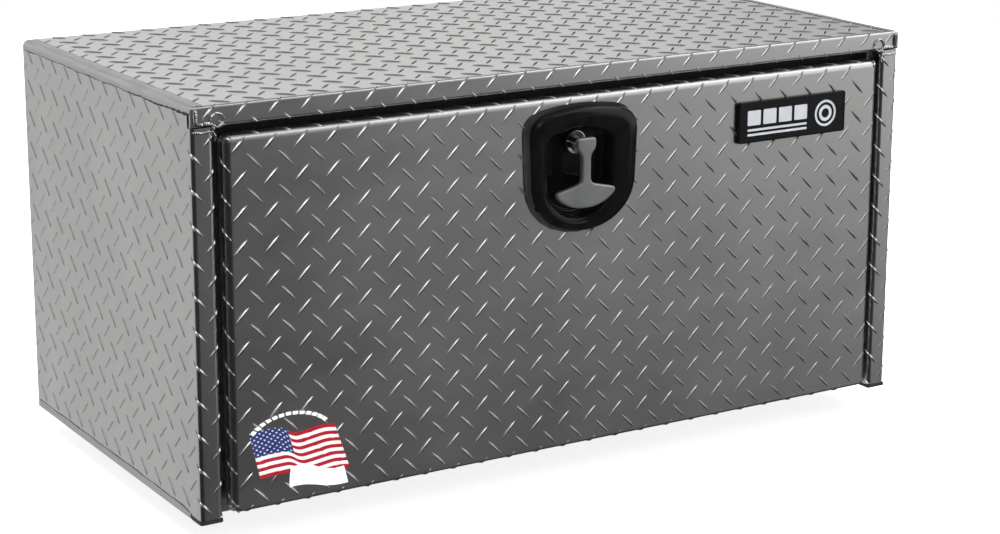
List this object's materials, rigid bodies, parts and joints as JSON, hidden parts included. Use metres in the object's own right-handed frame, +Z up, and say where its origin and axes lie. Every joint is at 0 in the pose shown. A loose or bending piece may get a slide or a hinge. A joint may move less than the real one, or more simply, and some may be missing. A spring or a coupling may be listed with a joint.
{
  "type": "truck tool box",
  "caption": "Tread-plate aluminium underbody truck tool box with a drop-down front door and a folding T-handle latch in a black pan.",
  "frame": {"origin": "on the floor under the middle of the whole box, handle included", "axes": "+X to the right of someone facing the door, +Y from the door to the back panel, +Z up"},
  "size_m": [0.916, 0.484, 0.44],
  "materials": {
    "tread_aluminium": "mill finish tread plate, slightly bright raised lugs",
    "black_plastic": "gloss black",
    "rubber": "matt black",
    "zinc_steel": "zinc plated",
    "satin_zinc": "satin die-cast with bright edges",
    "nylon": "matt",
    "nameplate_black": "black plate, plain grey marks",
    "decal_vinyl": "printed vinyl"
  },
  "bodies": {
    "cabinet": {"top_panel": "tread_aluminium", "bottom_panel": "tread_aluminium", "back_panel": "tread_aluminium", "left_side_panel": "tread_aluminium", "right_side_panel": "tread_aluminium", "left_post_cap": "black_plastic", "right_post_cap": "black_plastic", "door_seal": "rubber", "hinge_cabinet_leaf": "zinc_steel", "hinge_pin": "zinc_steel", "left_rod_keeper": "zinc_steel", "right_rod_keeper": "zinc_steel", "top_keeper": "zinc_steel", "left_cabinet_stay_tab": "zinc_steel", "right_cabinet_stay_tab": "zinc_steel"},
    "door": {"door_skin": "tread_aluminium", "left_door_stiffener": "zinc_steel", "right_door_stiffener": "zinc_steel", "hinge_door_leaf": "zinc_steel", "handle_pan": "black_plastic", "pan_gasket": "rubber", "pan_clamp_frame": "zinc_steel", "pan_nut_1": "zinc_steel", "pan_nut_2": "zinc_steel", "pan_nut_3": "zinc_steel", "pan_nut_4": "zinc_steel", "latch_bush": "nylon", "left_rod_guide": "nylon", "right_rod_guide": "nylon", "left_door_stay_tab": "zinc_steel", "right_door_stay_tab": "zinc_steel", "nameplate": "nameplate_black", "decal": "decal_vinyl"},
    "latch_hub": {"latch_hub": "satin_zinc", "cam_plate": "zinc_steel", "cam_nut": "zinc_steel", "left_fold_pin": "zinc_steel", "right_fold_pin": "zinc_steel"},
    "handle": {"t_handle": "satin_zinc"},
    "lock_plug": {"lock_plug": "zinc_steel"},
    "left_bolt": {"left_lock_rod": "zinc_steel", "left_rod_tip": "nylon"},
    "right_bolt": {"right_lock_rod": "zinc_steel", "right_rod_tip": "nylon"}
  },
  "joints": [
    {"name": "door_hinge", "type": "hinge", "parent": "cabinet", "child": "door", "pos_m": [0, -0.1999, 0.0055], "axis": [1, 0, 0], "range_deg": [0, 90]},
    {"name": "handle_turn", "type": "hinge", "parent": "door", "child": "latch_hub", "pos_m": [0, -0.218, 0.3552], "axis": [0, 1, 0], "range_deg": [0, 90]},
    {"name": "handle_fold", "type": "hinge", "parent": "latch_hub", "child": "handle", "pos_m": [0, -0.2315, 0.3532], "axis": [-1, 0, 0], "range_deg": [0, 90]},
    {"name": "lock_turn", "type": "hinge", "parent": "latch_hub", "child": "lock_plug", "pos_m": [0, -0.218, 0.3502], "axis": [0, 1, 0], "range_deg": [0, 90]},
    {"name": "left_bolt_slide", "type": "slide", "parent": "door", "child": "left_bolt", "axis": [1, 0, 0], "range_m": [0, 0.0284]},
    {"name": "right_bolt_slide", "type": "slide", "parent": "door", "child": "right_bolt", "axis": [-1, 0, 0], "range_m": [0, 0.0284]}
  ],
  "couplings": [
    {"joint": "left_bolt_slide", "follows": "handle_turn", "m_per_rad": 0.018006},
    {"joint": "right_bolt_slide", "follows": "handle_turn", "m_per_rad": 0.018006}
  ]
}
